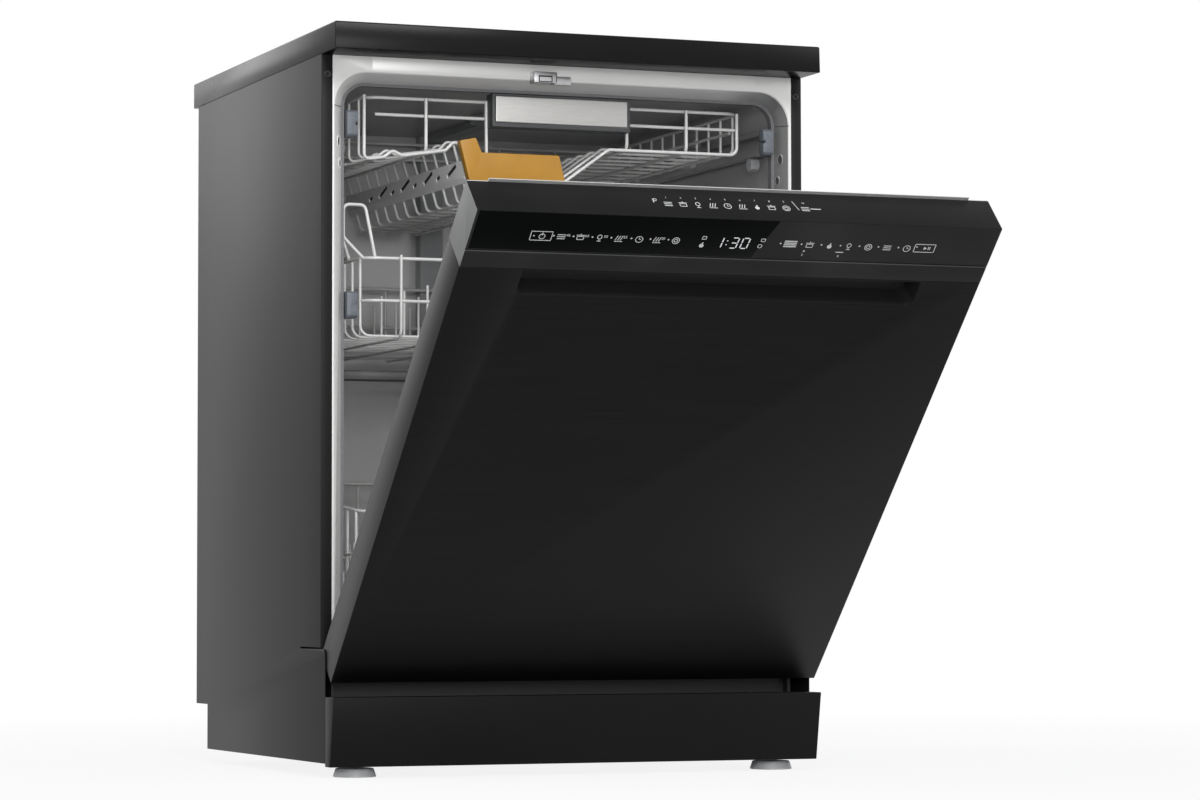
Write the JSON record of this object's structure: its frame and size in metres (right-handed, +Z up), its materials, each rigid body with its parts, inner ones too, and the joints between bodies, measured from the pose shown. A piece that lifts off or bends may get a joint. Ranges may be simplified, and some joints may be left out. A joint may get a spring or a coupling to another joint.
{
  "type": "free-standing dishwasher",
  "caption": "Free-standing black dishwasher with a drop-down door half open, wire baskets and a cutlery rack on rails, spray arms, and a worktop on a cabinet with screw feet.",
  "frame": {"origin": "on the floor, under the middle of the part with its door half open", "axes": "+Z up, -Y towards the user in front of the door, +X to the user's right"},
  "size_m": [0.598, 1.0556, 0.85],
  "materials": {
    "black_laminate": "black laminate on board, fine satin",
    "black_panel": "satin black paint on steel sheet",
    "galvanised": "plain zinc-coated sheet",
    "base_plastic": "moulded dark plastic",
    "black_plinth": "satin black paint",
    "tub_steel": "satin stainless sheet",
    "frame_steel": "pale painted sheet",
    "seal_rubber": "soft grey rubber",
    "zinc_part": "zinc-plated pressed steel",
    "grey_plastic": "moulded grey plastic",
    "pale_plastic": "moulded pale grey plastic",
    "dark_plastic": "moulded dark plastic",
    "motor": "motor housing",
    "wire_coat": "grey plastic-coated steel wire",
    "handle_plate": "satin anodised plate",
    "tab_yellow": "moulded amber plastic",
    "stop_plastic": "moulded blue-grey plastic",
    "rail_steel": "rolled stainless rail",
    "door_steel": "black brushed steel, horizontal grain",
    "console_plastic": "black satin moulding",
    "console_glass": "gloss black window",
    "board": "circuit board",
    "liner_steel": "satin stainless sheet",
    "white_plastic": "moulded white plastic",
    "filter_mesh": "perforated stainless"
  },
  "bodies": {
    "cabinet": {"worktop": "black_laminate", "side_panel_left": "black_panel", "side_panel_right": "black_panel", "rear_panel": "galvanised", "base_tray": "base_plastic", "plinth": "black_plinth", "tub_wrap": "tub_steel", "tub_rear_wall": "tub_steel", "tub_floor": "tub_steel", "tub_front_frame": "frame_steel", "door_gasket": "seal_rubber", "door_strike": "zinc_part", "sump": "grey_plastic", "filter_plate": "filter_mesh", "softener_tank": "white_plastic", "circulation_pump": "motor", "drain_pump": "motor", "inlet_valve": "white_plastic", "feed_pipe": "grey_plastic", "hinge_brackets": "zinc_part", "door_springs": "zinc_part", "tub_rollers": "pale_plastic"},
    "door": {"door_outer_panel": "door_steel", "hand_pocket": "console_plastic", "console_fascia": "console_plastic", "console_glass": "console_glass", "control_board": "board", "door_inner_liner": "liner_steel", "dispenser_body": "grey_plastic", "door_latch": "dark_plastic", "hinge_arms": "zinc_part"},
    "detergent_lid": {"detergent_lid": "grey_plastic"},
    "rinse_aid_cap": {"rinse_aid_cap": "dark_plastic"},
    "third_rack": {"third_rack_wires": "wire_coat", "cutlery_insert": "grey_plastic", "third_rack_handle": "dark_plastic", "third_rack_plate": "handle_plate", "zone_tab": "tab_yellow", "third_rack_rollers": "pale_plastic"},
    "third_rails": {"third_rails": "rail_steel", "third_rail_stops": "stop_plastic"},
    "middle_basket": {"middle_basket_wires": "wire_coat", "middle_basket_tines": "wire_coat", "spray_manifold": "dark_plastic", "middle_basket_rollers": "pale_plastic"},
    "middle_rails": {"middle_rails": "rail_steel", "middle_rail_stops": "stop_plastic"},
    "cup_shelf": {"cup_shelf": "wire_coat"},
    "upper_spray_arm": {"upper_spray_arm": "dark_plastic"},
    "lower_basket": {"lower_basket_wires": "wire_coat", "lower_basket_tines": "wire_coat", "wheel_clips": "pale_plastic"},
    "wheels_front": {"wheels_front": "pale_plastic"},
    "wheels_rear": {"wheels_rear": "pale_plastic"},
    "lower_spray_arm": {"lower_spray_arm": "dark_plastic"},
    "filter_cylinder": {"filter_cylinder": "grey_plastic"},
    "salt_cap": {"salt_cap": "dark_plastic"},
    "foot_front_left": {"foot_front_left": "pale_plastic"},
    "foot_front_right": {"foot_front_right": "pale_plastic"},
    "foot_rear": {"foot_rear": "pale_plastic"}
  },
  "joints": [
    {"name": "door_hinge", "type": "hinge", "parent": "cabinet", "child": "door", "pos_m": [0, -0.02863, 0.1341], "axis": [1, 0, 0], "range_deg": [-45, 45]},
    {"name": "third_rack_slide", "type": "slide", "parent": "cabinet", "child": "third_rack", "axis": [0, -1, 0], "range_m": [0, 0.42]},
    {"name": "third_rails_slide", "type": "slide", "parent": "cabinet", "child": "third_rails", "axis": [0, -1, 0], "range_m": [0, 0.21]},
    {"name": "middle_basket_slide", "type": "slide", "parent": "cabinet", "child": "middle_basket", "axis": [0, -1, 0], "range_m": [0, 0.32]},
    {"name": "middle_rails_slide", "type": "slide", "parent": "cabinet", "child": "middle_rails", "axis": [0, -1, 0], "range_m": [0, 0.16]},
    {"name": "cup_shelf_fold", "type": "hinge", "parent": "middle_basket", "child": "cup_shelf", "pos_m": [-0.235, 0.24777, 0.59571], "axis": [0, 1, 0], "range_deg": [0, 80]},
    {"name": "upper_spray_arm_spin", "type": "hinge", "parent": "middle_basket", "child": "upper_spray_arm", "pos_m": [0, 0.24377, 0.463], "axis": [0, 0, 1], "continuous": true},
    {"name": "lower_spray_arm_spin", "type": "hinge", "parent": "cabinet", "child": "lower_spray_arm", "pos_m": [0, 0.24377, 0.16], "axis": [0, 0, 1], "continuous": true},
    {"name": "lower_basket_slide", "type": "slide", "parent": "cabinet", "child": "lower_basket", "axis": [0, -1, 0], "range_m": [0, 0.04]},
    {"name": "wheels_front_roll", "type": "hinge", "parent": "lower_basket", "child": "wheels_front", "pos_m": [0, 0.08777, 0.1743], "axis": [1, 0, 0], "range_deg": [-10, 120]},
    {"name": "wheels_rear_roll", "type": "hinge", "parent": "lower_basket", "child": "wheels_rear", "pos_m": [0, 0.40777, 0.1743], "axis": [1, 0, 0], "range_deg": [-10, 120]},
    {"name": "filter_turn", "type": "hinge", "parent": "cabinet", "child": "filter_cylinder", "pos_m": [0.057, 0.20377, 0.152], "axis": [0, 0, 1], "range_deg": [0, 90]},
    {"name": "salt_cap_turn", "type": "hinge", "parent": "cabinet", "child": "salt_cap", "pos_m": [-0.178, 0.13777, 0.152], "axis": [0, 0, 1], "range_deg": [0, 270]},
    {"name": "detergent_lid_flip", "type": "hinge", "parent": "door", "child": "detergent_lid", "pos_m": [0.058, -0.20477, 0.34248], "axis": [-1, 0, 0], "range_deg": [0, 90]},
    {"name": "rinse_aid_cap_turn", "type": "hinge", "parent": "door", "child": "rinse_aid_cap", "pos_m": [0.149, -0.23751, 0.3748], "axis": [0, 0.7071, 0.7071], "range_deg": [0, 90]},
    {"name": "foot_front_left_screw", "type": "slide", "parent": "cabinet", "child": "foot_front_left", "axis": [0, 0, -1], "range_m": [-0.005, 0.025]},
    {"name": "foot_front_right_screw", "type": "slide", "parent": "cabinet", "child": "foot_front_right", "axis": [0, 0, -1], "range_m": [-0.005, 0.025]},
    {"name": "foot_rear_screw", "type": "slide", "parent": "cabinet", "child": "foot_rear", "axis": [0, 0, -1], "range_m": [-0.005, 0.025]}
  ],
  "couplings": [
    {"joint": "third_rails_slide", "follows": "third_rack_slide", "ratio": 0.5},
    {"joint": "middle_rails_slide", "follows": "middle_basket_slide", "ratio": 0.5},
    {"joint": "wheels_front_roll", "follows": "lower_basket_slide", "rad_per_m": 45.455},
    {"joint": "wheels_rear_roll", "follows": "lower_basket_slide", "rad_per_m": 45.455}
  ]
}
